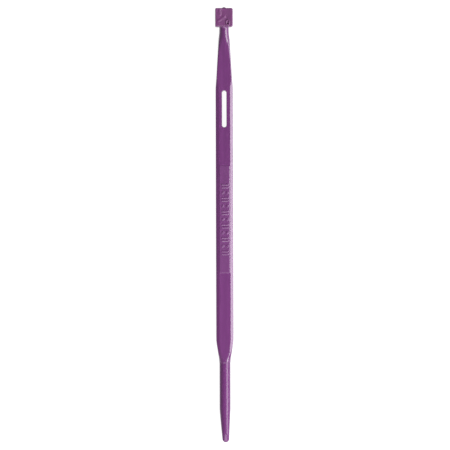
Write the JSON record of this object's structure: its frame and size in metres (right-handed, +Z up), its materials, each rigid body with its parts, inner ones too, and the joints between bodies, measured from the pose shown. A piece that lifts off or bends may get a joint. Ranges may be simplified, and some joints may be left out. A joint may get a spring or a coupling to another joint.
{
  "type": "interdental brush handle",
  "caption": "Slim moulded dental hand stick: block head with a wire eyelet, threading slot, bevelled shank with a grip panel, and a round tail with a leaning rounded point.",
  "frame": {"origin": "under the middle of the stick's length, on the surface that its back lies on", "axes": "+Y along the stick towards the head, +Z up out of the front face, +X to the right seen from the front"},
  "size_m": [0.006, 0.1504, 0.0049],
  "materials": {
    "handle_plastic": "moulded polypropylene, semi-gloss purple",
    "head_plastic": "moulded polypropylene, semi-gloss purple",
    "tail_plastic": "moulded polypropylene, semi-gloss purple"
  },
  "bodies": {
    "root": {"handle": "handle_plastic", "head_block": "head_plastic", "tail_rod": "tail_plastic"}
  },
  "joints": []
}
